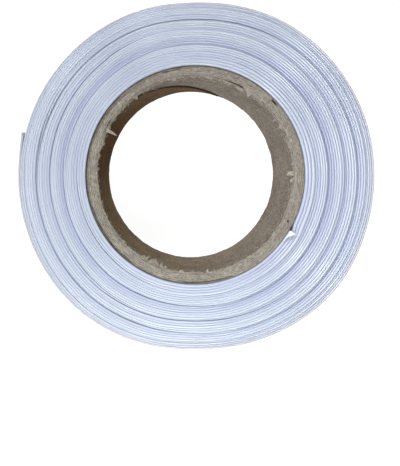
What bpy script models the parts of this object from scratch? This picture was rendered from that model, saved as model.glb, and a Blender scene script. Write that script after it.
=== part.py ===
"""A roll of single-fold satin bias tape, lying on its side on a table.

Three pieces: a greyboard tube, the tape wound on it, and the tape's loose end. Lengths are in
metres and +Z is up. Angles are in degrees about the tube's axis, anticlockwise from above. The
tape winds clockwise from the tube outwards, so its reach grows as the angle falls.
"""

from collections import namedtuple
from math import cos, degrees, radians, sin

import bmesh
import bpy

MM = 0.001

# Driving dimensions
BORE_RADIUS = 20.0 * MM
TUBE_WALL = 2.25 * MM
TUBE_LENGTH = 18.0 * MM
TUBE_RIM_BEVEL = 0.25 * MM
TAPE_WIDTH = 18.0 * MM
FOLD_RADIUS = 0.2 * MM
CLEARANCE = 0.3 * MM

# The winding: how often the tape goes round, and where it starts and ends
TURNS = 28.45
START_ANGLE = 329.4
END_ANGLE = 166.4
START_GAP_SPAN = 20.0

# The loose end, thicker than the real two layers of satin so that it is a sound sheet
LOOSE_THICKNESS = 1.0 * MM
LOOSE_SPAN = 48.0
LOOSE_LIFT = 0.3 * MM
LOOSE_LIFT_SPAN = 9.0

# How finely the round shapes are cut
STEPS_AROUND = 96
LOOSE_STEPS = 16
STEP_HALF_WIDTH = 0.05

# The roll is not quite round: its reach from the tube's axis, in millimetres, without the last turn
Reach = namedtuple("Reach", "angle reach")
OUTLINE = (
    Reach(0, 36.13),
    Reach(20, 36.18),
    Reach(60, 35.80),
    Reach(90, 34.95),
    Reach(110, 35.25),
    Reach(150, 35.50),
    Reach(195, 35.65),
    Reach(230, 35.92),
    Reach(252, 35.55),
    Reach(270, 35.10),
    Reach(290, 35.60),
    Reach(320, 36.48),
    Reach(342, 36.22),
)

# How far each turn has slipped along the axis, in millimetres: the grooves of one face are the
# ridges of the other. The turns with no shift are the ones that the roll stands on.
Slip = namedtuple("Slip", "turn shift")
SLIPS = (
    Slip(0.00, 0.45),
    Slip(4.15, 0.55),
    Slip(4.35, 0.25),
    Slip(6.00, 0.55),
    Slip(8.85, 0.80),
    Slip(9.05, 0.00),
    Slip(10.60, 0.00),
    Slip(12.00, 0.55),
    Slip(15.85, 0.90),
    Slip(16.05, 0.25),
    Slip(17.60, 0.65),
    Slip(21.00, 0.90),
    Slip(21.15, 0.00),
    Slip(21.80, 0.00),
    Slip(22.80, 0.60),
    Slip(25.55, 0.80),
    Slip(25.70, 0.35),
    Slip(TURNS, 0.50),
)

# Colours of the materials
GREYBOARD = (0.29, 0.25, 0.21)
SATIN = (0.55, 0.60, 0.74)

TUBE_RADIUS = BORE_RADIUS + TUBE_WALL
INNER_REACH = TUBE_RADIUS + CLEARANCE


def outline_reach(angle):
    """The outline's reach at any angle: a smooth closed curve through the rows of OUTLINE."""
    count = len(OUTLINE)
    angle %= 360.0
    row = max(i for i in range(count) if OUTLINE[i].angle <= angle)
    before, here, there, after = (OUTLINE[(row + k) % count] for k in (-1, 0, 1, 2))
    span = (there.angle - here.angle) % 360.0
    slope_here = (there.reach - before.reach) / ((there.angle - before.angle) % 360.0)
    slope_there = (after.reach - here.reach) / ((after.angle - here.angle) % 360.0)
    t = (angle - here.angle) / span
    reach = (
        (2 * t**3 - 3 * t**2 + 1) * here.reach
        + (t**3 - 2 * t**2 + t) * span * slope_here
        + (3 * t**2 - 2 * t**3) * there.reach
        + (t**3 - t**2) * span * slope_there
    )
    return reach * MM


def turn_thickness(angle):
    """What one turn adds to the reach at this angle."""
    return (outline_reach(angle) - INNER_REACH) / TURNS


def outer_reach(angle):
    """The reach of the roll's outside, with the step where the tape ends."""
    part_of_turn = ((END_ANGLE - angle) % 360.0) / 360.0
    return outline_reach(angle) + turn_thickness(angle) * part_of_turn


def inner_reach(angle):
    """The reach of the tape's innermost face: it stands off the tube just past where it starts."""
    past_start = (angle - START_ANGLE) % 360.0
    standing_off = max(0.0, 1.0 - past_start / START_GAP_SPAN)
    return INNER_REACH + turn_thickness(angle) * standing_off


def under_loose_end(angle):
    return 0.0 < (angle - END_ANGLE) % 360.0 < LOOSE_SPAN


def body_reach(angle):
    """The reach of the wound tape, which leaves room for the loose end where that lies on it."""
    room = LOOSE_THICKNESS + CLEARANCE if under_loose_end(angle) else 0.0
    return outer_reach(angle) - room


def wound_section(angle):
    """The wound tape cut at this angle, as (reach, height) points right round the cut."""
    turn = turn_thickness(angle)
    reaches = [inner_reach(angle)]
    reaches += [INNER_REACH + turn * slip.turn for slip in SLIPS[1:-1]]
    reaches += [body_reach(angle)]
    shifts = [slip.shift * MM for slip in SLIPS]
    front = [(r, TAPE_WIDTH + shift) for r, shift in zip(reaches, shifts)]
    back = [(r, shift) for r, shift in zip(reaches, shifts)]
    return rounded_ends(front, -FOLD_RADIUS) + rounded_ends(back, FOLD_RADIUS)[::-1]


def rounded_ends(face, drop):
    """A face's points, with its first and last one cut off as the tape's fold rounds them."""
    (first, first_height), (last, last_height) = face[0], face[-1]
    start = [(first, first_height + drop), (first + FOLD_RADIUS, first_height)]
    end = [(last - FOLD_RADIUS, last_height), (last, last_height + drop)]
    return start + face[1:-1] + end


def tube_section(_angle):
    """The tube cut at any angle, with its bore's rims worn."""
    worn = TUBE_RIM_BEVEL
    return [
        (BORE_RADIUS, worn),
        (BORE_RADIUS + worn, 0.0),
        (TUBE_RADIUS, 0.0),
        (TUBE_RADIUS, TUBE_LENGTH),
        (BORE_RADIUS + worn, TUBE_LENGTH),
        (BORE_RADIUS, TUBE_LENGTH - worn),
    ]


def loose_section(angle):
    """The loose end cut at this angle; it lifts off the roll towards its tip."""
    from_tip = (angle - END_ANGLE) / LOOSE_LIFT_SPAN
    lift = LOOSE_LIFT * max(0.0, 1.0 - from_tip) ** 2
    outer = outer_reach(angle) + lift
    inner = outer - LOOSE_THICKNESS
    low = SLIPS[-1].shift * MM
    high = low + TAPE_WIDTH
    return [
        (inner, low),
        (outer - FOLD_RADIUS, low),
        (outer, low + FOLD_RADIUS),
        (outer, high - FOLD_RADIUS),
        (outer - FOLD_RADIUS, high),
        (inner, high),
    ]


def angles_around(steps=()):
    """Even angles round the circle, with a close pair at each step in the shape."""
    spacing = 360.0 / STEPS_AROUND
    even = [i * spacing for i in range(STEPS_AROUND)]
    clear = [a for a in even if all(abs(a - step) > spacing / 4 for step in steps)]
    pairs = [step + side * STEP_HALF_WIDTH for step in steps for side in (-1, 1)]
    return sorted(clear + pairs)


def swept(name, section, angles, material, closed=True):
    """An object whose mesh runs through section(angle) at each angle, capped unless it closes."""
    mesh = bmesh.new()
    rings = []
    for angle in angles:
        across, along = cos(radians(angle)), sin(radians(angle))
        points = [(reach * across, reach * along, height) for reach, height in section(angle)]
        rings.append([mesh.verts.new(point) for point in points])
    following = rings[1:] + rings[:1] if closed else rings[1:]
    for ring, after in zip(rings, following):
        for i in range(len(ring)):
            mesh.faces.new((ring[i - 1], ring[i], after[i], after[i - 1]))
    if not closed:
        mesh.faces.new(rings[0])
        mesh.faces.new(rings[-1])
    bmesh.ops.recalc_face_normals(mesh, faces=mesh.faces)
    data = bpy.data.meshes.new(name)
    mesh.to_mesh(data)
    mesh.free()
    data.materials.append(material)
    data.shade_smooth()
    data.set_sharp_from_angle(angle=radians(30))
    piece = bpy.data.objects.new(name, data)
    bpy.context.scene.collection.objects.link(piece)
    return piece


def material(name, colour, roughness, sheen=0.0):
    made = bpy.data.materials.new(name)
    made.use_nodes = True
    shader = made.node_tree.nodes["Principled BSDF"]
    shader.inputs["Base Color"].default_value = (*colour, 1.0)
    shader.inputs["Roughness"].default_value = roughness
    shader.inputs["Metallic"].default_value = 0.0
    shader.inputs["Sheen Weight"].default_value = sheen
    return made


def clear_scene():
    for old in list(bpy.data.objects):
        bpy.data.objects.remove(old, do_unlink=True)


def make_core():
    board = material("greyboard", GREYBOARD, roughness=0.9)
    return swept("core", tube_section, angles_around(), board)


def make_wound_tape(satin):
    steps = (END_ANGLE, END_ANGLE + LOOSE_SPAN, START_ANGLE)
    return swept("wound_tape", wound_section, angles_around(steps), satin)


def make_loose_end(satin):
    """It fills its place in the roll's outside, with a clearance at both of its ends."""
    margin = STEP_HALF_WIDTH + degrees(CLEARANCE / TUBE_RADIUS)
    span = LOOSE_SPAN - 2 * margin
    angles = [END_ANGLE + margin + span * i / LOOSE_STEPS for i in range(LOOSE_STEPS + 1)]
    return swept("loose_end", loose_section, angles, satin, closed=False)


def centre_on_origin(pieces):
    """Parents the pieces to the roll's axis, and moves that so that the roll's box is centred."""
    corners = [vertex.co for piece in pieces for vertex in piece.data.vertices]
    middle = [(min(c[i] for c in corners) + max(c[i] for c in corners)) / 2 for i in (0, 1)]
    axis = bpy.data.objects.new("roll_axis", None)
    axis.empty_display_size = BORE_RADIUS
    axis.location = (-middle[0], -middle[1], 0.0)
    bpy.context.scene.collection.objects.link(axis)
    for piece in pieces:
        piece.parent = axis


def main():
    clear_scene()
    satin = material("satin", SATIN, roughness=0.45, sheen=0.3)
    centre_on_origin([make_core(), make_wound_tape(satin), make_loose_end(satin)])


main()
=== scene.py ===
import bpy
import numpy as np
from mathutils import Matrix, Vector


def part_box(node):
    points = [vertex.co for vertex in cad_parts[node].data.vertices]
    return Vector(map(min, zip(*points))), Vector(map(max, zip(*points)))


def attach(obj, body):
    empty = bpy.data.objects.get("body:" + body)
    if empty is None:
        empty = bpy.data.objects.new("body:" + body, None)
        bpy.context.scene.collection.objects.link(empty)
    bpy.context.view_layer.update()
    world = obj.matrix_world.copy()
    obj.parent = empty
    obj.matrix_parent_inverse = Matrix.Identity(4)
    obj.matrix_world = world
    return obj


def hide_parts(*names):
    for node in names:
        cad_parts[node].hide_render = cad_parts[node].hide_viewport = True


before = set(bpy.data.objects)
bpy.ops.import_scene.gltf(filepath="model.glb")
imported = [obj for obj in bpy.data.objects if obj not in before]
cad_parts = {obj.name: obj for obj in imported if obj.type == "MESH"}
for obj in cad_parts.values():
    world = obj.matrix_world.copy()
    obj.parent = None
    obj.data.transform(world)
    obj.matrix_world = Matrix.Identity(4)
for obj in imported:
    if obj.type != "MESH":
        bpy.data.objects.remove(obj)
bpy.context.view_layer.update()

MM = 0.001

# The tube, as the frame holds it
tube_low, tube_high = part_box("core")
AXIS = np.array([(tube_low.x + tube_high.x) / 2, (tube_low.y + tube_high.y) / 2])
TUBE_LENGTH = (tube_high.z - tube_low.z) / MM
TUBE_RADIUS = (tube_high.x - tube_low.x) / 2 / MM
TUBE_WALL = 2.25
BORE_RADIUS = TUBE_RADIUS - TUBE_WALL

# The tape, in millimetres: its width when folded, its two flaps, and the rounding of its folds,
# of which a share is pressed flat
TAPE_WIDTH = 18.0
UPPER_FLAP = 7.5
LOWER_FLAP = 8.8
FOLD_DEPTH = 0.26
PRESSED_FLAT = 0.75

# Shares: how much of the folded tape's thickness one layer of cloth takes, and how much of its
# room stays free, which is less in the outermost turns
CLOTH_SHARE = 0.42
GAP = 0.03
OUTERMOST_GAP = 0.015
OUTERMOST_FROM = 23.0

# The winding, clockwise from the tube outwards; a place along it is counted in turns
START_ANGLE = 329.4
END_ANGLE = 166.4
WHOLE_TURNS = 28
TURNS = WHOLE_TURNS + (START_ANGLE - END_ANGLE) / 360.0
LOOSE_SPAN = 48.0 / 360.0
LOOSE_LIFT = 0.32
LOOSE_LIFT_SPAN = 10.0 / 360.0
INNER_REACH = TUBE_RADIUS + 0.3
STATIONS_PER_TURN = 200

# The early turns step up in this part of a turn where they pass the tape's start, and later ones
# climb evenly
STEP_SPAN = 0.014
EVEN_FROM = 5.0

# Where hands have greyed the tape
HANDLED_FROM = TURNS - 2.6
HANDLED_SPAN = 1.6

# The roll is not quite round. Columns: angle in degrees, reach from the tube's axis without the
# last turn, in millimetres.
OUTLINE = (
    (0, 36.13),
    (20, 36.18),
    (60, 35.80),
    (90, 34.95),
    (110, 35.25),
    (150, 35.50),
    (195, 35.65),
    (230, 35.92),
    (252, 35.55),
    (270, 35.10),
    (290, 35.60),
    (320, 36.48),
    (342, 36.22),
)

# How far the tape has slipped along the axis, which differs between the roll's right side and its
# left. Columns: turn, shift on the right, shift on the left, in millimetres. Each sharp drop is a
# groove's dark inner edge; the rise after it is slow.
SLIPS = (
    (0.00, 0.28, 0.40),
    (2.60, 0.40, 0.52),
    (3.14, 0.54, 0.58),
    (3.19, 0.54, 0.46),
    (3.60, 0.48, 0.48),
    (4.20, 0.42, 0.50),
    (5.20, 0.47, 0.56),
    (5.80, 0.56, 0.58),
    (7.10, 0.66, 0.62),
    (8.18, 0.68, 0.65),
    (8.23, 0.26, 0.64),
    (8.40, 0.26, 0.62),
    (8.50, 0.27, 0.38),
    (9.80, 0.28, 0.42),
    (10.80, 0.38, 0.50),
    (11.80, 0.50, 0.56),
    (12.80, 0.62, 0.60),
    (13.80, 0.74, 0.63),
    (15.15, 0.68, 0.66),
    (15.20, 0.38, 0.66),
    (15.26, 0.38, 0.64),
    (15.36, 0.38, 0.49),
    (16.10, 0.40, 0.52),
    (17.10, 0.50, 0.57),
    (18.10, 0.62, 0.61),
    (19.10, 0.72, 0.64),
    (20.40, 0.66, 0.66),
    (20.54, 0.36, 0.54),
    (21.40, 0.40, 0.57),
    (22.20, 0.50, 0.61),
    (23.20, 0.60, 0.63),
    (24.74, 0.66, 0.64),
    (24.79, 0.42, 0.54),
    (25.80, 0.44, 0.57),
    (26.40, 0.56, 0.60),
    (TURNS, 0.50, 0.58),
)
HIGHEST_SHIFT = 0.98

# Angles of the roll's left side, where the shifts on the left hold, and of its most pressed side
HIGH_SIDE = 175.0
FLAT_SIDE = 195.0

# How far a place may lie below its neighbours, in millimetres, before it gets the grooves' painted shade
GROOVE_SHADE_FROM = 0.05

# Where one bias strip is seamed to the next, which leaves a kink in the turns over it: its height
# in turns, its steep side and its whole span, and the share that each turn over it keeps
SEAM_TURN = 15.56
SEAM_RISE = 0.40
SEAM_EDGE = 0.006
SEAM_SPAN = 0.50
SEAM_KEPT = 0.55

# How loosely the turns lie, which sets them out from an even spacing. Columns: turn, how much
# further out it lies, in turns.
LOOSENESS = (
    (0.0, 0.0),
    (4.0, 0.42),
    (8.5, 0.20),
    (15.5, 0.18),
    (20.5, 0.46),
    (25.0, 0.40),
    (TURNS, 0.0),
)

# Where a dark slit stays open outside a turn, mostly on the left. Columns: from turn, to turn,
# share of its room that the tape leaves free there.
SLITS = (
    (2.20, 2.46, 0.20),
    (7.38, 7.66, 0.34),
    (8.12, 8.48, 0.42),
    (14.22, 14.63, 0.46),
    (15.06, 15.34, 0.36),
    (19.40, 19.80, 0.60),
    (20.15, 20.52, 0.60),
    (25.10, 25.45, 0.22),
)
SLIT_END = 0.08


# Smooth random values


def wavering(places, spacing, seed, count=4096):
    """A smooth random curve between -1 and 1, with a new value at every spacing."""
    knots = np.random.default_rng(seed).uniform(-1, 1, count)
    position = np.asarray(places) / spacing
    left = np.floor(position).astype(int)
    part = position - left
    part = part * part * (3 - 2 * part)
    return knots[left % count] * (1 - part) + knots[(left + 1) % count] * part


def mottled(x, y, seed, period=256):
    """A smooth random surface between -1 and 1 over a grid of unit cells, repeating after period."""
    grid = np.random.default_rng(seed).uniform(-1, 1, (period, 64))
    left, low = np.floor(x).astype(int), np.floor(y).astype(int)
    across, up = x - left, y - low
    across, up = across * across * (3 - 2 * across), up * up * (3 - 2 * up)
    value = 0.0
    for i, weight_x in ((0, 1 - across), (1, across)):
        for j, weight_y in ((0, 1 - up), (1, up)):
            value = value + grid[(left + i) % period, (low + j) % 64] * weight_x * weight_y
    return value


# The winding


def cosine(angle):
    """The cosine of an angle in degrees."""
    return np.cos(np.radians(angle))


def outline_reach(angle):
    """The outline's reach at each angle: a smooth closed curve through the rows of OUTLINE."""
    angles, reaches = np.array(OUTLINE).T
    count = len(angles)
    angle = np.asarray(angle) % 360.0
    here = np.searchsorted(angles, angle, side="right") - 1
    before, there, after = (here - 1) % count, (here + 1) % count, (here + 2) % count
    span = (angles[there] - angles[here]) % 360.0
    slope_here = (reaches[there] - reaches[before]) / ((angles[there] - angles[before]) % 360.0)
    slope_there = (reaches[after] - reaches[here]) / ((angles[after] - angles[here]) % 360.0)
    t = (angle - angles[here]) / span
    return (
        (2 * t**3 - 3 * t**2 + 1) * reaches[here]
        + (t**3 - 2 * t**2 + t) * span * slope_here
        + (3 * t**2 - 2 * t**3) * reaches[there]
        + (t**3 - t**2) * span * slope_there
    )


def angle_at(turn):
    """The angle in degrees of a place along the winding."""
    return START_ANGLE - 360.0 * np.asarray(turn)


def climb(turn):
    """How many turns' thickness lie under this place: early turns climb only over the start."""
    whole = np.floor(turn)
    part = turn - whole
    sudden = np.clip((part - 1 + STEP_SPAN) / STEP_SPAN, 0, 1) ** 1.5
    evenly = np.clip(whole / EVEN_FROM, 0, 1)
    return whole + sudden * (1 - evenly) + part * evenly


def seam_bump(turn):
    """The kink over the seam, weaker in each turn further out."""
    past = turn - SEAM_TURN
    over = np.floor(past)
    since = past - over
    rise = np.clip(since / SEAM_EDGE, 0, 1) * np.clip(1 - since / SEAM_SPAN, 0, 1) ** 0.7
    return np.where(over >= 0, SEAM_RISE * rise * SEAM_KEPT ** np.clip(over, 0, None), 0.0)


def inner_face(turn):
    """The reach of the tape's inner face at each place: the first turns hug the tube, and single
    turns lie a little unevenly, but less so towards both ends."""
    angle = angle_at(turn)
    pitch = (outline_reach(angle) - INNER_REACH) / TURNS
    uneven = 0.10 * wavering(turn, 0.43, 5) + 0.03 * wavering(turn, 0.07, 6)
    settled = np.clip(turn / 2.0, 0, 1) * np.clip((TURNS + 1 - turn) / 1.5, 0, 1)
    hugging = (0.20 + 0.03 * cosine(angle - 60)) * np.exp(-turn / 1.5)
    places, outwards = np.array(LOOSENESS).T
    loose = np.interp(turn, places, outwards)
    turns_under = climb(turn) + loose + uneven * settled + seam_bump(turn)
    return INNER_REACH + pitch * turns_under - hugging


def by_side(turn, right, left):
    """A value that differs between the roll's right side and its left."""
    side = (1 + cosine(angle_at(turn) - HIGH_SIDE)) / 2
    return (1 - side) * right + side * left


def thickness(turn):
    """How thick the folded tape is at each place: it nearly fills the room up to the next turn."""
    free = GAP + (OUTERMOST_GAP - GAP) * np.clip(turn - OUTERMOST_FROM, 0, 1)
    for start, end, share in SLITS:
        free = free + share * np.clip(np.minimum(turn - start, end - turn) / SLIT_END, 0, 1)
    return (1 - free) * (inner_face(turn + 1) - inner_face(turn))


def shift(turn):
    """How far the tape has slipped along the axis: the table, and the small slips of each turn."""
    turns, right, left = np.array(SLIPS).T
    table = by_side(turn, np.interp(turn, turns, right), np.interp(turn, turns, left))
    small = 0.06 * wavering(turn, 0.37, 11) + 0.02 * wavering(turn, 0.06, 12)
    return np.clip(table + small * by_side(turn, 1.2, 0.4), 0.0, HIGHEST_SHIFT)


def groove_shade(turn):
    """How far this place lies below the highest of the turns around it, from 0 to 1: how strong the
    painted shade of the grooves is there.
    """
    around = [shift(turn + away) for away in (-4, -3, -2, -1, 1, 2, 3, 4)]
    below = np.max(around, axis=0) - shift(turn) - GROOVE_SHADE_FROM
    return np.clip(below / by_side(turn, 0.42, 0.20), 0, 1) * by_side(turn, 0.85, 0.95)


def fold_depth(turn):
    """How deep the folds' rounding is: they are pressed flatter on the roll's flat side."""
    flat = np.clip(0.65 * (1 + cosine(angle_at(turn) - FLAT_SIDE)), 0, 1)
    return FOLD_DEPTH * (1 - PRESSED_FLAT * flat)


def lift(turn):
    """How far the loose end stands off the roll."""
    from_start = (turn - (TURNS - LOOSE_LIFT_SPAN)) / LOOSE_LIFT_SPAN
    return LOOSE_LIFT * np.clip(from_start, 0, 1) ** 2


def length_along(turns):
    """The tape's length up to each of these places, in millimetres."""
    reach = inner_face(turns) + thickness(turns) / 2
    steps = np.hypot(np.diff(turns) * 2 * np.pi * (reach[1:] + reach[:-1]) / 2, np.diff(reach))
    return np.concatenate([[0.0], np.cumsum(steps)])


# Building objects

CLOTH_MAP_UNIT = 100.0
SHARP_ANGLE = 50.0
FIBRE_RINGS = 6
FIBRE_TAPER = 0.6
FIBRE_CRINKLE = 0.04


def polar(angle, reach, height):
    """A point in metres from an angle about the tube's axis and lengths in millimetres."""
    angle = np.radians(angle)
    x = AXIS[0] + reach * np.cos(angle) * MM
    y = AXIS[1] + reach * np.sin(angle) * MM
    return np.stack(np.broadcast_arrays(x, y, height * MM), axis=-1)


def in_scene(name, data):
    """A new object of this mesh, light or camera, in the scene."""
    made = bpy.data.objects.new(name, data)
    bpy.context.scene.collection.objects.link(made)
    return made


def quad_mesh(name, points, faces, places=None):
    """An object from points and faces, smooth but for its sharp edges, facing out. The places on
    the cloth, in millimetres, become its map."""
    data = bpy.data.meshes.new(name)
    data.from_pydata(points.tolist(), [], faces.tolist())
    data.validate()
    if signed_volume(points, faces) < 0:
        data.flip_normals()
    if places is not None:
        corner = np.empty(len(data.loops), int)
        data.loops.foreach_get("vertex_index", corner)
        layer = data.uv_layers.new(name="cloth")
        layer.data.foreach_set("uv", (places[corner] / CLOTH_MAP_UNIT).astype(np.float32).ravel())
    data.shade_smooth()
    data.set_sharp_from_angle(angle=np.radians(SHARP_ANGLE))
    return in_scene(name, data)


def signed_volume(points, faces):
    """Six times the volume inside the faces, below zero where they face inwards."""
    a, b, c, d = (points[faces[:, i]] - points.mean(0) for i in range(4))
    first = np.einsum("ij,ij->i", a, np.cross(b, c)).sum()
    second = np.einsum("ij,ij->i", a, np.cross(c, d)).sum()
    return first + second


def set_values(piece, name, values):
    """Keeps one number for each vertex, for the materials to read."""
    layer = piece.data.attributes.new(name, "FLOAT", "POINT")
    layer.data.foreach_set("value", np.asarray(values, np.float32).ravel())


def closed_shell(upper, lower):
    """Points and faces of the closed thin shell between two grids of the same shape."""
    rows, columns = upper.shape[:2]
    top = np.arange(rows * columns).reshape(rows, columns)
    low = top + rows * columns
    faces = [
        np.stack([top[:-1, :-1], top[1:, :-1], top[1:, 1:], top[:-1, 1:]], axis=-1).reshape(-1, 4),
        np.stack([low[:-1, :-1], low[:-1, 1:], low[1:, 1:], low[1:, :-1]], axis=-1).reshape(-1, 4),
    ]
    edge = np.concatenate([top[0, :], top[1:, -1], top[-1, -2::-1], top[-2:0:-1, 0]])
    after = np.roll(edge, -1)
    shift_down = rows * columns
    faces.append(np.stack([edge, after, after + shift_down, edge + shift_down], axis=-1))
    return np.concatenate([upper.reshape(-1, 3), lower.reshape(-1, 3)]), np.concatenate(faces)


def joined(name, parts):
    """One object from several meshes, each given as its points and faces."""
    points, faces, offset = [], [], 0
    for part_points, part_faces in parts:
        points.append(part_points)
        faces.append(part_faces + offset)
        offset += len(part_points)
    return quad_mesh(name, np.concatenate(points), np.concatenate(faces))


def fibre_piece(name, roots, tips, radius, bend, seed):
    """An object of thin bent fibres that taper, each a closed three-sided tube. The roots and tips
    are points in metres, and the radius is in millimetres."""
    own = np.random.default_rng(seed)
    count = len(roots)
    along = np.linspace(0, 1, FIBRE_RINGS)
    sag = own.normal(size=(count, 3)) * bend * np.linalg.norm(tips - roots, axis=1)[:, None]
    line = roots[:, None] + (tips - roots)[:, None] * along[None, :, None]
    line = line + sag[:, None] * (4 * along * (1 - along))[None, :, None]
    line = line + own.normal(size=line.shape) * FIBRE_CRINKLE * along[None, :, None] * MM
    direction = np.gradient(line, axis=1)
    direction /= np.linalg.norm(direction, axis=2, keepdims=True) + 1e-12
    helper = np.where(np.abs(direction[..., 2:]) > 0.8, [1.0, 0, 0], [0, 0, 1.0])
    first = np.cross(direction, helper)
    first /= np.linalg.norm(first, axis=2, keepdims=True)
    second = np.cross(direction, first)
    width = np.broadcast_to(radius, count)[:, None] * (1 - FIBRE_TAPER * along)[None, :] * MM
    corner = np.array([0, 120, 240])[:, None]
    ring = cosine(corner) * first[:, :, None] + cosine(corner - 90) * second[:, :, None]
    points = line[:, :, None] + ring * width[:, :, None, None]
    index = np.arange(count * FIBRE_RINGS * 3).reshape(count, FIBRE_RINGS, 3)
    following = np.roll(index, -1, axis=2)
    sides = np.stack([index[:, :-1], following[:, :-1], following[:, 1:], index[:, 1:]], axis=-1)
    caps = np.concatenate([index[:, 0, ::-1], index[:, -1]])
    data = bpy.data.meshes.new(name)
    data.from_pydata(points.reshape(-1, 3).tolist(), [], sides.reshape(-1, 4).tolist() + caps.tolist())
    data.validate()
    data.shade_smooth()
    return in_scene(name, data)


# The folded tape's section


# The pressed fold rises slowly on the side towards the tube and has a full shoulder on the other.
# Columns: place across the folded tape (0 inner side, 1 outer side), height as a share of the
# fold's depth.
FOLD = (
    (0.00, 0.00),
    (0.05, 0.30),
    (0.12, 0.50),
    (0.30, 0.78),
    (0.46, 0.97),
    (0.56, 1.00),
    (0.74, 0.97),
    (0.86, 0.86),
    (0.95, 0.58),
    (1.00, 0.00),
)

# How round the fold's inside is, as a share of its outside
INSIDE_FULLNESS = 1.0 / 3


def section_path(face_steps):
    """The folded cloth's course, as columns: side (0 inner, 1 outer), share of the fold's height,
    which fold it is (1 upper, -1 lower, 0 neither), height on the width without the fold, and the
    place across the cut cloth. One row for each sample."""
    rows = [(0.0, 0.0, 0, TAPE_WIDTH - UPPER_FLAP, -TAPE_WIDTH / 2 - UPPER_FLAP)]
    for side, rise in FOLD:
        rows.append((side, rise, 1, TAPE_WIDTH, -TAPE_WIDTH / 2))
    for height in np.linspace(TAPE_WIDTH - FOLD_DEPTH, FOLD_DEPTH, face_steps + 2)[1:-1]:
        rows.append((1.0, 0.0, 0, height, TAPE_WIDTH / 2 - height))
    for side, rise in FOLD[::-1]:
        rows.append((side, rise, -1, 0.0, TAPE_WIDTH / 2))
    rows.append((0.0, 0.0, 0, LOWER_FLAP, TAPE_WIDTH / 2 + LOWER_FLAP))
    return np.array(rows)


def there_and_back(row):
    """The row and then the same row backwards, as the section's ring runs."""
    return np.concatenate([row, row[::-1]])


def folded_tape(name, turns, face_steps=1, bulge=0.0):
    """A closed mesh of the folded cloth along these places of the winding."""
    side, rise, fold, height, across_cloth = section_path(face_steps).T
    thick, depth = thickness(turns)[:, None], fold_depth(turns)[:, None]
    middle = (inner_face(turns) + lift(turns))[:, None] + thick / 2
    if bulge:
        middle = middle + bulge * swelling(turns, height) * (side > 0.99)
    across, up = [], []
    for half, fullness in ((thick / 2, 1.0), (thick / 2 - CLOTH_SHARE * thick, INSIDE_FULLNESS)):
        across.append(middle + (2 * side - 1) * half)
        up.append(shift(turns)[:, None] + height - fold * (1 - fullness * rise) * depth)
    across = np.concatenate([across[0], across[1][:, ::-1]], axis=1)
    up = np.concatenate([up[0], up[1][:, ::-1]], axis=1)
    points = polar(angle_at(turns)[:, None], across, up)
    places = np.broadcast_arrays(length_along(turns)[:, None], there_and_back(across_cloth))
    piece = ribbon_mesh(name, points, np.stack(places, axis=-1))
    # The grooves' painted shade, on the upper folds only
    set_values(piece, "groove_shade", groove_shade(turns)[:, None] * (there_and_back(fold) > 0))
    handled = np.clip((turns - HANDLED_FROM) / HANDLED_SPAN, 0, 1)
    set_values(piece, "handled", np.repeat(handled, across.shape[1]))
    last_turn = turns > TURNS - 1 - LOOSE_SPAN - 0.01
    set_values(piece, "outside", last_turn[:, None] * (there_and_back(fold) == 0))
    return piece


def swelling(turns, height):
    """How much the outermost cloth swells at each place: unevenly, and not at all at its folds."""
    up = height[None, :] / TAPE_WIDTH
    between = np.sin(np.pi * up)
    waves = mottled(turns[:, None] * 34 + up * 5, up * 3.2 + 7, 21)
    fine = mottled(turns[:, None] * 120 - up * 16, up * 7 + 3, 22)
    return between * (0.5 + 0.6 * waves + 0.25 * fine)


def ribbon_mesh(name, points, cloth_places):
    """A closed band through rings of points, capped at both ends with strips across the cloth."""
    stations, around = points.shape[:2]
    index = np.arange(stations * around).reshape(stations, around)
    following = np.roll(index, -1, axis=1)
    quads = np.stack([index[:-1], following[:-1], following[1:], index[1:]], axis=-1).reshape(-1, 4)
    half = around // 2
    caps = []
    for ring, flip in ((index[0], True), (index[-1], False)):
        outer, inner = ring[:half], ring[half:][::-1]
        strip = np.stack([outer[:-1], outer[1:], inner[1:], inner[:-1]], axis=-1)
        caps.append(strip[:, ::-1] if flip else strip)
    faces = np.concatenate([quads, *caps])
    return quad_mesh(name, points.reshape(-1, 3), faces, cloth_places.reshape(-1, 2))


# The tape's two ends

END_THREADS = 150
UPPER_THREADS = 50
END_THREAD_RADIUS = 0.028
START_THREADS = 90
START_THREAD_RADIUS = 0.03

# The starting corner: its grid of points, its span in degrees, how ragged it is as a share, and
# its sizes in millimetres
CORNER_ROWS = 8
CORNER_COLUMNS = 7
CORNER_SPAN = 6.0
CORNER_WIDTH = 1.15
CORNER_NARROWING = 0.85
CORNER_RAGGED = 0.3
CORNER_LIFT = 0.42
CORNER_RISE = 0.45
CORNER_THICKNESS = 0.09


def end_fray(own):
    """Threads at the loose end's cut, many of them at its upper corner."""
    count = END_THREADS
    reach = inner_face(TURNS) + lift(TURNS) + thickness(TURNS) * own.uniform(0.1, 0.95, count)
    height = own.uniform(0, TAPE_WIDTH, count) + shift(TURNS)
    height[:UPPER_THREADS] = shift(TURNS) + TAPE_WIDTH - own.uniform(0, 0.6, UPPER_THREADS)
    length = own.uniform(0.15, 0.9, count)
    slant = own.choice([-1, 1], count) * own.uniform(0.5, 1.1, count)
    rise = np.clip(length * slant * 0.6, -0.6, TAPE_WIDTH + 0.9 - height)
    roots = polar(END_ANGLE - 0.4, reach, height)
    tip_angle = END_ANGLE + np.degrees(length * 0.7 / reach)
    tips = polar(tip_angle, reach + own.uniform(-0.1, 0.25, count), height + rise)
    return fibre_piece("end_fray", roots, tips, END_THREAD_RADIUS, 0.12, 13)


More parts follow.
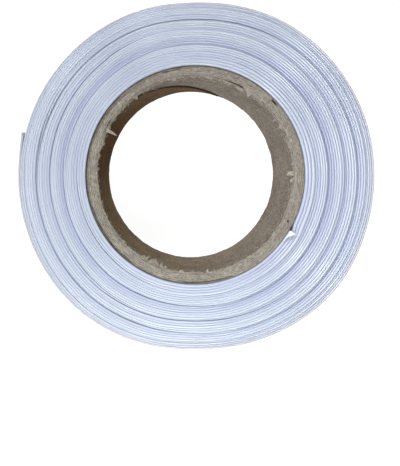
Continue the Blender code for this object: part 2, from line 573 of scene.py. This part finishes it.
def start_fray(own):
    """Threads at the tape's first cut, over the tube's edge."""
    count = START_THREADS
    angle = START_ANGLE - own.uniform(0.0, 3.2, count)
    reach = inner_face(0.0) + own.uniform(0.0, 0.42, count)
    height = TAPE_WIDTH + shift(0.0) - 0.1
    roots = polar(angle, reach, height)
    out = own.uniform(0.1, 0.75, count)
    tip_angle = angle + own.uniform(-0.6, 2.2, count)
    tips = polar(tip_angle, reach + out, height + own.uniform(0.15, 0.5, count))
    return fibre_piece("start_fray", roots, tips, START_THREAD_RADIUS, 0.15, 14)


def turned_corner():
    """The tape's starting corner, bent up and outwards over the first turns."""
    own = np.random.default_rng(15)
    back = np.linspace(0, 1, CORNER_ROWS)[:, None]
    out = np.linspace(0, 1, CORNER_COLUMNS)[None, :]
    ragged_out = 1 + CORNER_RAGGED * own.uniform(-1, 1, (1, CORNER_COLUMNS))
    angle = START_ANGLE + 0.1 - back * CORNER_SPAN * (1 - 0.55 * out) * ragged_out
    ragged_back = 1 + CORNER_RAGGED * own.uniform(-1, 1, (CORNER_ROWS, 1))
    width = (CORNER_WIDTH - CORNER_NARROWING * back**0.8) * ragged_back
    reach = inner_face(0.0) + out * width
    creased = 0.03 * own.normal(size=(CORNER_ROWS, CORNER_COLUMNS))
    height = TAPE_WIDTH + CORNER_LIFT + CORNER_RISE * out + creased
    upper, lower = polar(angle, reach, height), polar(angle, reach, height - CORNER_THICKNESS)
    return joined("turned_corner", [closed_shell(upper, lower)])


# The tube, in millimetres

TUBE_STEPS = 660
FACE_RINGS = 30
WALL_RINGS = 36
OUTER_RINGS = 4
PLY_SPACING = 0.35
FACE_DEPTH = 0.12
FACE_RELIEF = 0.09
RIM_SAG = 0.25
RAGGED = 0.22
WORN_EDGE = 0.10

# Slits and holes in the front cut face. Columns: from angle, to angle, reach in millimetres, half
# width, depth.
SLITS_IN_FACE = (
    (61.0, 72.0, 20.35, 0.09, 1.0),
    (40.0, 44.5, 21.98, 0.12, 1.3),
    (332.9, 334.0, 21.25, 0.13, 1.2),
    (147.0, 151.0, 20.60, 0.07, 0.5),
    (97.0, 108.0, 21.85, 0.05, 0.4),
    (262.0, 292.0, 22.00, 0.07, 0.5),
    (196.0, 236.0, 22.05, 0.06, 0.4),
)

# The spiral seam of the innermost ply: the angles where it meets the back rim and the front rim,
# how deep its crease is, and how far the ply beyond it stands in
SEAM_BACK = 68.0
SEAM_FRONT = 128.0
CREASE_DEPTH = 0.35
LAP_DEPTH = 0.14


def tube_profile():
    """The tube's section, as columns: place on the wall (0 bore, 1 outside), height, and which
    surface it is (1 front face, 2 bore, 3 back face, 0 outside)."""
    rows = [(1.0, z, 0) for z in np.linspace(0.3, TUBE_LENGTH - 0.3, OUTER_RINGS)]
    rows += [(w, TUBE_LENGTH, 1) for w in np.linspace(1, 0, FACE_RINGS)]
    rows += [(0.0, z, 2) for z in np.linspace(TUBE_LENGTH, 0, WALL_RINGS + 2)[1:-1]]
    rows += [(w, 0.0, 3) for w in np.linspace(0, 1, FACE_RINGS)]
    return np.array(rows)


def rim_rag(angle, seed):
    """How far the torn bore rim stands in or out at each angle, from about -1 to 1."""
    turn = angle / 360.0
    coarse = wavering(turn, 1 / 38.0, seed, 38)
    fine = wavering(turn, 1 / 130.0, seed + 1, 130)
    finest = wavering(turn, 1 / 420.0, seed + 2, 420)
    return 0.5 * coarse + 0.45 * fine + 0.15 * finest


def slit(angle, reach, row):
    """How deep a slit of the cut face is at each place."""
    from_angle, to_angle, at_reach, half_width, depth = row
    middle, half_span = (from_angle + to_angle) / 2, (to_angle - from_angle) / 2
    along = (angle - middle + 180) % 360 - 180
    inside = np.clip(4 * (1 - np.abs(along) / half_span), 0, 1)
    wander = 0.05 * wavering(angle / 360.0, 1 / 90.0, 61, 90)
    across = np.exp(-(((reach - at_reach - wander) / half_width) ** 2))
    return depth * inside * across


def past_seam(angle, height):
    """Degrees past the innermost ply's seam, at this height in the bore."""
    seam = SEAM_BACK + (height / TUBE_LENGTH) * (SEAM_FRONT - SEAM_BACK)
    return (angle - seam + 180) % 360 - 180


def ply_relief(turn, reach):
    """The fine relief of the cut faces: ply lines, fuzz and grain."""
    ply_wave = 0.06 * wavering(turn, 1 / 20.0, 31, 20) + 0.03 * wavering(turn, 1 / 70.0, 32, 70)
    plies = np.cos(2 * np.pi * (reach - BORE_RADIUS + ply_wave) / PLY_SPACING)
    fuzz = mottled(turn * 600, reach * 7 + 3, 33, 600)
    grain = mottled(turn * 192, reach * 3 + 9, 34, 192)
    return 0.65 * np.clip(plies, -0.5, 1) * (0.7 + 0.3 * grain) + 0.65 * fuzz + 0.15 * grain


def squeezed(angle):
    """How far the bore's far rim stands in at each angle: it is not quite round or centred."""
    return 0.10 + 0.22 * cosine(angle - 165) + 0.12 * cosine(2 * (angle - 170))


def bore_stain_and_shade(angle, height):
    """How stained and how warm the bore's paper is: brown beyond the seam, partly its own colour and
    partly painted shade on the left and deeper in, and a painted shadow line along the seam.
    """
    past = past_seam(angle, height)
    depth_in = np.clip((TUBE_LENGTH - height) / TUBE_LENGTH, 0, 1)
    beyond_seam = np.where(angle > 200, 1.0, np.clip((past - 0.3) / 0.8, 0, 1))
    fading = np.clip((angle - 60) / 90, 0.75, 1) * np.clip((214 - angle) / 42, 0, 1)
    # The brown beyond the seam: partly the paper's own colour, partly painted shade, darker deeper in
    brown = beyond_seam * fading * (0.8 + 0.2 * depth_in)
    # Warmest on the left, where the wall lies in shade: partly the paper's colour, partly painted shade
    warm_and_shade = beyond_seam * (1 - cosine(angle - 345)) / 2
    # Painted shade deeper in the bore and on the warm left, and a little darker near 300 degrees
    faint = 0.12 * (depth_in + warm_and_shade) + 0.15 * np.clip(cosine(angle - 300), 0, 1) ** 2
    shadow_line = np.exp(-((past / 2.0) ** 2)) * np.clip(2 * depth_in, 0.4, 1)
    return np.maximum(brown, faint) + 1.8 * shadow_line, warm_and_shade


def tube_mesh():
    """The cut and worn board tube: ply lines and slits on its faces, ragged rims, a ply seam."""
    wall, height, surface = tube_profile().T[:, None, :]
    angle = (np.arange(TUBE_STEPS) * 360.0 / TUBE_STEPS)[:, None]
    reach = BORE_RADIUS + wall * TUBE_WALL
    turn = angle / 360.0
    bore = surface == 2

    on_face = (surface == 1) | (surface == 3)
    relief = ply_relief(turn, reach)
    carved = FACE_RELIEF * relief
    for row in SLITS_IN_FACE:
        carved = carved + slit(angle, reach, row) * (surface == 1)
    rim = np.clip(1 - wall / 0.30, 0, 1)
    sag = RIM_SAG * rim * (1 + 0.9 * rim_rag(angle, 44))
    inwards = np.where(surface == 3, -1.0, 1.0) * (FACE_DEPTH + carved + sag)
    up = np.clip(height - np.where(on_face, inwards, 0.0), 0.0, TUBE_LENGTH)

    below_rim = np.exp(-(TUBE_LENGTH - height) / 0.5)
    above_rim = np.exp(-height / 0.4)
    near_front = np.where(surface == 1, rim, np.where(bore, below_rim, 0.0))
    near_back = np.where(surface == 3, rim, np.where(bore, above_rim, 0.0))
    torn = RAGGED * near_front * rim_rag(angle, 41) + WORN_EDGE * near_back * rim_rag(angle, 51)
    narrowed = squeezed(angle) * (1 - wall) * np.clip(1 - height / TUBE_LENGTH, 0, 1)
    past = past_seam(angle, height)
    crease = CREASE_DEPTH * np.exp(-((past / 0.7) ** 2))
    lap = LAP_DEPTH * np.exp(-np.clip(past, 0, None) / 12.0) * (past > 0)
    paper = 0.03 * mottled(turn * 300, height * 1.4, 36, 300)
    reach = reach + torn - narrowed + np.where(bore, crease - lap + paper, 0.0)
    points = polar(angle, np.minimum(reach, TUBE_RADIUS), up)

    index = np.arange(points.shape[0] * points.shape[1]).reshape(points.shape[:2])
    along, round_it = np.roll(index, -1, axis=0), np.roll(index, -1, axis=1)
    both = np.roll(along, -1, axis=1)
    faces = np.stack([index, round_it, both, along], axis=-1).reshape(-1, 4)
    piece = quad_mesh("tube", points.reshape(-1, 3), faces)
    in_bore = np.broadcast_to(bore, index.shape).reshape(-1)
    piece.data.polygons.foreach_set("material_index", in_bore.astype(np.int32))

    stain_and_shade, warm_and_shade = bore_stain_and_shade(angle, height)
    # Painted shade along the cut face's outer edge, where the tape meets the tube
    edge_shade = 0.1 * (np.abs(wall - 0.97) < 0.05)
    # Darker where the ply relief is cut deeper, plus the painted edge shade
    tone_and_shade = np.clip(np.clip(0.5 + 0.42 * relief, 0, 1) + edge_shade, 0, 1)
    # The bore's stain and warm tint carry painted shade and a painted shadow line
    set_values(piece, "stain_and_shade", np.where(bore, stain_and_shade, 0.0))
    set_values(piece, "warm_and_shade", np.where(bore, warm_and_shade, 0.0))
    set_values(piece, "tone_and_shade", np.where(on_face, tone_and_shade, 0.5))
    return piece


# Torn board at the front rim of the bore. Columns: angle, tip's reach, root's reach, half width in
# millimetres, how far the tip hangs down.
TORN_BITS = (
    (153.0, 18.00, 20.35, 0.36, 0.10),
    (150.6, 19.70, 20.30, 0.30, 0.25),
    (145.0, 19.75, 20.25, 0.35, 0.35),
    (137.0, 19.80, 20.30, 0.40, 0.30),
    (127.5, 19.50, 20.30, 0.45, 0.30),
    (119.0, 19.70, 20.25, 0.35, 0.20),
    (103.0, 19.60, 20.30, 0.55, 0.15),
    (92.0, 19.75, 20.30, 0.50, 0.12),
    (82.0, 19.65, 20.30, 0.75, 0.15),
    (70.0, 19.60, 20.20, 0.90, 0.15),
    (63.5, 19.40, 20.15, 0.90, 0.15),
    (57.0, 19.30, 20.20, 0.55, 0.20),
    (35.0, 19.20, 20.30, 0.32, 0.25),
    (30.0, 19.75, 20.30, 0.60, 0.15),
    (17.0, 19.75, 20.30, 0.80, 0.12),
    (7.0, 19.75, 20.25, 0.55, 0.15),
    (1.0, 18.85, 20.10, 0.50, 0.60),
    (357.0, 19.40, 20.10, 0.35, 0.40),
    (346.0, 19.90, 20.70, 0.55, -0.05),
    (341.0, 20.00, 20.60, 0.35, -0.05),
    (322.0, 19.75, 20.30, 0.50, 0.10),
    (304.0, 19.80, 20.40, 0.65, 0.08),
    (289.0, 19.85, 20.40, 0.55, 0.05),
    (277.0, 19.35, 20.30, 0.30, 0.25),
    (262.0, 19.75, 20.30, 0.50, 0.15),
    (252.0, 19.50, 20.20, 0.30, 0.30),
    (249.5, 19.10, 20.10, 0.42, 0.45),
    (247.0, 19.35, 20.10, 0.35, 0.50),
    (245.0, 18.98, 20.00, 0.50, 0.40),
    (242.5, 19.25, 20.10, 0.38, 0.55),
    (240.0, 19.10, 20.10, 0.30, 0.40),
    (237.5, 19.45, 20.20, 0.45, 0.30),
    (222.0, 19.75, 20.25, 0.40, 0.30),
    (209.0, 19.80, 20.25, 0.45, 0.35),
    (197.0, 19.70, 20.25, 0.50, 0.40),
    (186.0, 19.78, 20.25, 0.40, 0.40),
    (177.0, 19.62, 20.25, 0.45, 0.40),
    (170.0, 19.72, 20.25, 0.35, 0.35),
    (163.0, 19.75, 20.25, 0.45, 0.35),
)
SMALL_BITS = 80
BOARD_FIBRES = 600

# Each torn bit is a thin grid that hangs from just below the cut face
SHARD_GRID = 6
SHARD_THICKNESS = 0.09
RIM_DEPTH = 0.22


def shard(angle, tip, root, half_width, droop, seed):
    """A torn bit of board as two facing grids of points: its upper side and its lower side."""
    own = np.random.default_rng(seed)
    inwards = np.linspace(0, 1, SHARD_GRID)[:, None]
    across = np.linspace(-1, 1, SHARD_GRID)[None, :]
    length = root - tip
    ragged = 1 + own.uniform(-0.5, 0.15, (1, SHARD_GRID)) * min(1.0, 0.4 / length)
    taper = own.uniform(0.1, 0.5) + min(0.5, 0.2 * length)
    narrow = 1 - taper * inwards ** own.uniform(1.0, 2.5)
    reach = root + (tip - root) * inwards * ragged
    lean = own.uniform(-1.2, 1.2) * half_width
    sideways = across * half_width * narrow + lean * inwards**2
    sideways = sideways + own.uniform(-0.05, 0.05, (SHARD_GRID, SHARD_GRID))
    wave = own.uniform(-0.05, 0.05, (SHARD_GRID, SHARD_GRID))
    wave = wave + own.uniform(-0.15, 0.15) * across * inwards
    up = TUBE_LENGTH - RIM_DEPTH - droop * inwards**1.5 + wave
    thick = SHARD_THICKNESS * (1 - 0.6 * inwards) * (1 - 0.5 * np.abs(across))
    turned = angle + np.degrees(sideways / reach)
    return [polar(turned, reach, up + side * thick / 2) for side in (1, -1)]


def torn_bits():
    """The torn bits in the table, and many small ones all round the rim."""
    parts = []
    for i, row in enumerate(TORN_BITS):
        parts.append(closed_shell(*shard(*row, seed=100 + i)))
    own = np.random.default_rng(7)
    for i in range(SMALL_BITS):
        root = own.uniform(20.15, 20.40)
        tip = root - own.uniform(0.15, 0.40)
        row = (own.uniform(0, 360), tip, root, own.uniform(0.12, 0.35), own.uniform(0.0, 0.25))
        parts.append(closed_shell(*shard(*row, seed=300 + i)))
    piece = joined("torn_board", parts)
    set_values(piece, "tone_and_shade", np.random.default_rng(8).uniform(0.1, 0.7, len(piece.data.vertices)))
    return piece


# Thin pale strips of board peeled up along the bore's front rim. Columns: from angle, to angle,
# reach in millimetres, half thickness.
CURLS = (
    (4, 10, 19.75, 0.06),
    (8, 15, 19.95, 0.05),
    (14, 20, 19.60, 0.06),
    (19, 27, 19.90, 0.07),
    (26, 31, 19.55, 0.05),
    (30, 38, 19.80, 0.06),
    (37, 44, 19.95, 0.05),
    (43, 50, 19.70, 0.07),
    (50, 57, 19.90, 0.06),
    (54, 60, 19.35, 0.07),
    (58, 66, 19.60, 0.08),
    (68, 76, 19.75, 0.06),
    (77, 84, 19.60, 0.06),
    (82, 90, 19.90, 0.05),
    (93, 99, 19.80, 0.05),
    (101, 108, 19.90, 0.05),
    (283, 290, 19.95, 0.05),
    (297, 303, 19.90, 0.05),
    (309, 316, 20.05, 0.06),
    (333, 340, 20.15, 0.06),
    (343, 350, 20.05, 0.05),
    (352, 358, 19.80, 0.06),
)


def board_curls():
    """The peeled strips, lying unevenly along the rim."""
    own = np.random.default_rng(16)
    start, end, reach, radius = np.array(CURLS, float).T
    count = len(start)
    height = TUBE_LENGTH - own.uniform(0.0, 0.15, count)
    roots = polar(start, reach + own.uniform(-0.15, 0.15, count), height)
    tips = polar(end, reach + own.uniform(-0.15, 0.15, count), height + own.uniform(-0.2, 0.1, count))
    return fibre_piece("board_curls", roots, tips, radius, 0.10, 17)


def board_fibres():
    """Loose fibres, seven in ten of them at the torn rim and the others on the cut face."""
    own = np.random.default_rng(9)
    count = BOARD_FIBRES
    angle = own.uniform(0, 360, count)
    at_rim = own.uniform(0, 1, count) < 0.7
    reach = np.where(at_rim, own.normal(20.1, 0.2, count), own.uniform(20.3, 22.1, count))
    height = TUBE_LENGTH - own.uniform(0.15, 0.35, count)
    inwards = np.where(at_rim, own.uniform(0.0, 0.45, count), own.uniform(-0.3, 0.3, count))
    sideways = own.normal(0, 0.5, count)
    rise = np.where(at_rim, own.uniform(-0.3, 0.12, count), own.uniform(0.0, 0.12, count))
    roots = polar(angle, reach, height)
    tips = polar(angle + np.degrees(sideways / reach), reach - inwards, height + rise)
    return fibre_piece("board_fibres", roots, tips, own.uniform(0.015, 0.055, count), 0.22, 10)


# Materials

# The tape's tints: painted shade in the grooves, where hands have greyed it, and a slight painted shade
# on the outside
GROOVE_SHADE_TINT = (0.73, 0.735, 0.855)
HANDLED_TINT = (0.94, 0.89, 0.86)
OUTSIDE_SHADE_TINT = (0.98, 0.985, 1.0)

# The board's colours: the bore's warm tint, partly the paper's own and partly painted shade, and the
# painted shadow at the bottom of its creases
WARM_AND_SHADE_TINT = (1.0, 0.80, 0.51)
CREASE_SHADOW_COLOUR = (0.012, 0.008, 0.005)


def new_material(name):
    """A new material with its nodes, its links and its shader."""
    made = bpy.data.materials.new(name)
    made.use_nodes = True
    nodes, links = made.node_tree.nodes, made.node_tree.links
    return made, nodes, links, nodes["Principled BSDF"]


def add(nodes, kind, **settings):
    """A new node, with its settings and its inputs' values by name."""
    node = nodes.new(kind)
    for key, value in settings.items():
        if hasattr(node, key):
            setattr(node, key, value)
        else:
            node.inputs[key.replace("_", " ")].default_value = value
    return node


def attribute(nodes, name):
    """The numbers that set_values keeps under this name."""
    return add(nodes, "ShaderNodeAttribute", attribute_name=name).outputs["Fac"]


def noise(nodes, links, vector, **settings):
    """Noise over these coordinates."""
    node = add(nodes, "ShaderNodeTexNoise", **settings)
    links.new(vector, node.inputs["Vector"])
    return node.outputs["Fac"]


def ranged(nodes, links, value, **settings):
    """The value moved from one range to another."""
    node = add(nodes, "ShaderNodeMapRange", **settings)
    links.new(value, node.inputs["Value"])
    return node.outputs["Result"]


def mixed(nodes, links, factor, first, second, blend="MIX"):
    """A colour mixed from the first one towards the second; each input is a socket or a value."""
    node = add(nodes, "ShaderNodeMix", data_type="RGBA", blend_type=blend)
    for name, value in (("Factor", factor), ("A", first), ("B", second)):
        if isinstance(value, bpy.types.NodeSocket):
            links.new(value, node.inputs[name])
        else:
            node.inputs[name].default_value = (*value, 1) if isinstance(value, tuple) else value
    return node.outputs["Result"]


def bumped(nodes, links, shader, height, distance, strength):
    """Gives the shader a bump; the strength is a socket or a value."""
    bump = add(nodes, "ShaderNodeBump", Distance=distance)
    if isinstance(strength, bpy.types.NodeSocket):
        links.new(strength, bump.inputs["Strength"])
    else:
        bump.inputs["Strength"].default_value = strength
    links.new(height, bump.inputs["Height"])
    links.new(bump.outputs["Normal"], shader.inputs["Normal"])


def satin_material(name, light, dark):
    """Polyester satin cut on the bias: threads at 45 degrees to the tape, which show on the roll's
    outside and hardly on its folded edges."""
    made, nodes, links, shader = new_material(name)
    cloth = add(nodes, "ShaderNodeUVMap", uv_map="cloth").outputs["UV"]
    turned = add(nodes, "ShaderNodeMapping", Rotation=(0, 0, np.radians(45)))
    links.new(cloth, turned.inputs["Vector"])
    stretched = add(nodes, "ShaderNodeMapping", Scale=(1.0, 14.0, 1.0))
    links.new(turned.outputs["Vector"], stretched.inputs["Vector"])
    weave = add(nodes, "ShaderNodeTexWave", bands_direction="Y", Scale=95.0, Distortion=1.2, Detail=2.0)
    links.new(turned.outputs["Vector"], weave.inputs["Vector"])
    slubs = noise(nodes, links, stretched.outputs["Vector"], Scale=90.0, Detail=3.0)
    patches = noise(nodes, links, cloth, Scale=6.0, Detail=2.0)
    outside = attribute(nodes, "outside")
    showing = ranged(nodes, links, outside, To_Min=0.02, To_Max=0.50)

    colour = mixed(nodes, links, patches, dark, light)
    colour = mixed(nodes, links, showing, colour, slubs, "MULTIPLY")
    # Painted lavender shade in the grooves
    colour = mixed(nodes, links, attribute(nodes, "groove_shade"), colour, GROOVE_SHADE_TINT, "MULTIPLY")
    colour = mixed(nodes, links, attribute(nodes, "handled"), colour, HANDLED_TINT, "MULTIPLY")
    # A slight painted shade on the last turn's outer side
    colour = mixed(nodes, links, outside, colour, OUTSIDE_SHADE_TINT, "MULTIPLY")
    links.new(colour, shader.inputs["Base Color"])
    gloss = ranged(nodes, links, slubs, To_Min=0.275, To_Max=0.295)
    links.new(gloss, shader.inputs["Roughness"])
    relief = add(nodes, "ShaderNodeMath", operation="ADD")
    links.new(weave.outputs["Fac"], relief.inputs[0])
    links.new(slubs, relief.inputs[1])
    bumped(nodes, links, shader, relief.outputs["Value"], 0.00003, showing)
    shader.inputs["Sheen Weight"].default_value = 0.25
    shader.inputs["Sheen Roughness"].default_value = 0.4
    shader.inputs["Specular IOR Level"].default_value = 0.9
    return made


def greyboard_material(name, light, dark, stain_and_shade_colour, fibre_scale, speckle, sheen, specular):
    """Grey-brown board with fibres, specks and slow patches. It darkens where it is stained and where
    shade is painted on it, and a stain-and-shade value above 1 is a crease's painted shadow."""
    made, nodes, links, shader = new_material(name)
    place = add(nodes, "ShaderNodeTexCoord").outputs["Object"]
    fibre = noise(nodes, links, place, Scale=fibre_scale, Detail=6.0, Roughness=0.7)
    patches = noise(nodes, links, place, Scale=220.0, Detail=3.0)
    specks = noise(nodes, links, place, Scale=2600.0, Detail=2.0)
    stain_and_shade = attribute(nodes, "stain_and_shade")

    # Fibres, plus the tone and painted edge shade kept on the mesh
    fibre_tone_and_shade = add(nodes, "ShaderNodeMath", operation="ADD")
    links.new(fibre, fibre_tone_and_shade.inputs[0])
    links.new(attribute(nodes, "tone_and_shade"), fibre_tone_and_shade.inputs[1])
    spread = ranged(nodes, links, fibre_tone_and_shade.outputs["Value"], From_Min=0.62, From_Max=1.45)
    # Painted shadow along the seam's crease, where the stain-and-shade value passes 1
    creased = add(nodes, "ShaderNodeMath", operation="SUBTRACT", use_clamp=True)
    creased.inputs[1].default_value = 1.0
    links.new(stain_and_shade, creased.inputs[0])
    contrast = ranged(nodes, links, specks, From_Min=0.25, From_Max=0.75)
    colour = mixed(nodes, links, spread, light, dark)
    # The bore's stain, partly painted shade
    colour = mixed(nodes, links, stain_and_shade, colour, stain_and_shade_colour)
    colour = mixed(nodes, links, attribute(nodes, "warm_and_shade"), colour, WARM_AND_SHADE_TINT, "MULTIPLY")
    colour = mixed(nodes, links, creased.outputs["Value"], colour, CREASE_SHADOW_COLOUR)
    colour = mixed(nodes, links, 0.3, colour, patches, "OVERLAY")
    colour = mixed(nodes, links, speckle, colour, contrast, "OVERLAY")
    links.new(colour, shader.inputs["Base Color"])
    bumped(nodes, links, shader, fibre, 0.00012, 0.6)
    shader.inputs["Roughness"].default_value = 0.92
    shader.inputs["Specular IOR Level"].default_value = specular
    shader.inputs["Sheen Weight"].default_value = sheen
    shader.inputs["Sheen Roughness"].default_value = 0.5
    return made


def floor_material():
    """Dark and matt, but it glows, so that it looks white and takes only a faint shadow."""
    made, nodes, links, shader = new_material("pale_floor")
    place = add(nodes, "ShaderNodeTexCoord").outputs["Generated"]
    grain = noise(nodes, links, place, Scale=400.0, Detail=2.0)
    bumped(nodes, links, shader, grain, 0.0001, 0.03)
    shader.inputs["Base Color"].default_value = (0.22, 0.22, 0.22, 1)
    shader.inputs["Roughness"].default_value = 0.9
    shader.inputs["Specular IOR Level"].default_value = 0.0
    shader.inputs["Emission Color"].default_value = (1, 1, 1, 1)
    shader.inputs["Emission Strength"].default_value = 0.95
    return made


# The camera, the floor and the light

PICTURE_WIDTH, PICTURE_HEIGHT = 400, 466
PIXEL = 0.20408 * MM
AXIS_PIXEL = (195.36, 174.87)
EYE_PIXEL = (162.3, 171.2)
EYE_HEIGHT = 94.7 * MM
SENSOR = 36.0
FLOOR_REACH = 2.0
WORLD_COLOUR = (0.96, 0.94, 1.0)
WORLD_STRENGTH = 0.17

# Columns: name, azimuth and elevation in degrees, distance in metres, strength, size in metres,
# colour
LIGHTS = (
    ("window", 105, 29, 1.5, 0.39, 0.21, (0.93, 0.965, 1.0)),
    ("key", 138, 29, 1.5, 0.37, 0.15, (0.97, 0.965, 1.0)),
    ("left_fill", 192, 34, 0.4, 0.18, 0.08, (1.0, 0.93, 1.0)),
    ("lower_fill", 234, 35, 0.7, 0.30, 0.08, (0.98, 0.98, 1.0)),
    ("overhead", 272, 60, 0.14, 0.31, 0.05, (0.92, 1.0, 0.95)),
)


def add_camera():
    """Looks straight down the tube from a little left of its axis; the frame is shifted to suit."""
    data = bpy.data.cameras.new("camera")
    data.sensor_width = SENSOR
    data.lens = SENSOR * (EYE_HEIGHT / PIXEL) / PICTURE_HEIGHT
    data.shift_x = (PICTURE_WIDTH / 2 - EYE_PIXEL[0]) / PICTURE_HEIGHT
    data.shift_y = (EYE_PIXEL[1] - PICTURE_HEIGHT / 2) / PICTURE_HEIGHT
    data.clip_start = 0.005
    camera = in_scene("camera", data)
    camera.location = (
        AXIS[0] + (EYE_PIXEL[0] - AXIS_PIXEL[0]) * PIXEL,
        AXIS[1] - (EYE_PIXEL[1] - AXIS_PIXEL[1]) * PIXEL,
        TUBE_LENGTH * MM + EYE_HEIGHT,
    )
    bpy.context.scene.camera = camera


def add_light(name, azimuth, elevation, distance, strength, size, colour):
    """A soft light on the roll; at strength 1 a white card that faces it comes out white."""
    around, above = np.radians(azimuth), np.radians(elevation)
    towards = Vector((np.cos(above) * np.cos(around), np.cos(above) * np.sin(around), np.sin(above)))
    data = bpy.data.lights.new(name, "AREA")
    data.energy = strength * (np.pi * distance) ** 2
    data.size = size
    data.color = colour
    lamp = in_scene(name, data)
    lamp.location = towards * distance
    lamp.rotation_euler = (-towards).to_track_quat("-Z", "Y").to_euler()


def add_surroundings():
    """The lights, the world and the floor."""
    for row in LIGHTS:
        add_light(*row)
    world = bpy.data.worlds.new("studio")
    world.use_nodes = True
    background = world.node_tree.nodes["Background"]
    background.inputs["Color"].default_value = (*WORLD_COLOUR, 1)
    background.inputs["Strength"].default_value = WORLD_STRENGTH
    bpy.context.scene.world = world
    bpy.context.scene.view_settings.view_transform = "Standard"
    far = FLOOR_REACH
    corners = [(-far, -far, 0), (far, -far, 0), (far, far, 0), (-far, far, 0)]
    data = bpy.data.meshes.new("floor")
    data.from_pydata(corners, [], [(0, 1, 2, 3)])
    data.materials.append(floor_material())
    floor = in_scene("floor", data)


# Putting it together

# How the tape is cut into pieces. Columns: name, the node it replaces, from turn, to turn, how much
# finer its stations are.
LOOSE_FROM = TURNS - LOOSE_SPAN
STRETCHES = (
    ("tape_inner_turns", "wound_tape", 0.0, 10.0, 1.0),
    ("tape_middle_turns", "wound_tape", 10.0, 20.0, 1.0),
    ("tape_outer_turns", "wound_tape", 20.0, LOOSE_FROM - 1.0, 1.0),
    ("tape_last_turn", "wound_tape", LOOSE_FROM - 1.0, LOOSE_FROM, 2.0),
    ("tape_loose_end", "loose_end", LOOSE_FROM, TURNS, 2.5),
)
OUTSIDE_STEPS = 14
OUTSIDE_BULGE = 0.05

# The greyboard's looks. Columns: name, light colour, dark colour, stain-and-shade colour, the fibres'
# scale, how much its specks show, sheen, specular level.
GREYBOARDS = (
    ("cut_board", (0.43, 0.388, 0.33), (0.19, 0.164, 0.129), (0.20, 0.15, 0.10), 1000, 0.18, 0.05, 0.1),
    ("bore_paper", (0.292, 0.262, 0.22), (0.131, 0.114, 0.091), (0.082, 0.051, 0.037), 600, 0.5, 0, 0.01),
    ("torn_board", (0.44, 0.395, 0.33), (0.24, 0.208, 0.166), (0.20, 0.15, 0.10), 1300, 0.2, 0.05, 0.1),
)


def dress(piece, node, slot, *materials):
    """Gives a piece its materials and its body, and hides the node that it replaces, if any; the slot is
    not used.
    """
    for made in materials:
        piece.data.materials.append(made)
    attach(piece, "root")
    if node:
        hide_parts(node)


def add_tape():
    """The folded tape, one sheet for each stretch, and its frayed and turned ends."""
    satin = satin_material("satin", (0.65, 0.70, 0.805), (0.60, 0.655, 0.775))
    frayed = satin_material("frayed_satin", (0.97, 0.98, 1.0), (0.90, 0.93, 1.0))
    for name, node, start, end, finer in STRETCHES:
        turns = np.linspace(start, end, int((end - start) * STATIONS_PER_TURN * finer) + 1)
        if end > LOOSE_FROM - 1.0:
            piece = folded_tape(name, turns, OUTSIDE_STEPS, OUTSIDE_BULGE)
        else:
            piece = folded_tape(name, turns)
        dress(piece, node, "satin", satin)
        length = length_along(turns)[-1] * MM
    own = np.random.default_rng(12)
    for piece in (end_fray(own), start_fray(own), turned_corner()):
        dress(piece, None, "satin", frayed)


def add_tube():
    """The tube, and what has torn from its board."""
    cut, paper, torn = (greyboard_material(*row) for row in GREYBOARDS)
    dress(tube_mesh(), "core", "greyboard", cut, paper)
    for piece in (torn_bits(), board_fibres(), board_curls()):
        dress(piece, None, "greyboard", torn)


add_camera()
add_surroundings()
add_tube()
add_tape()
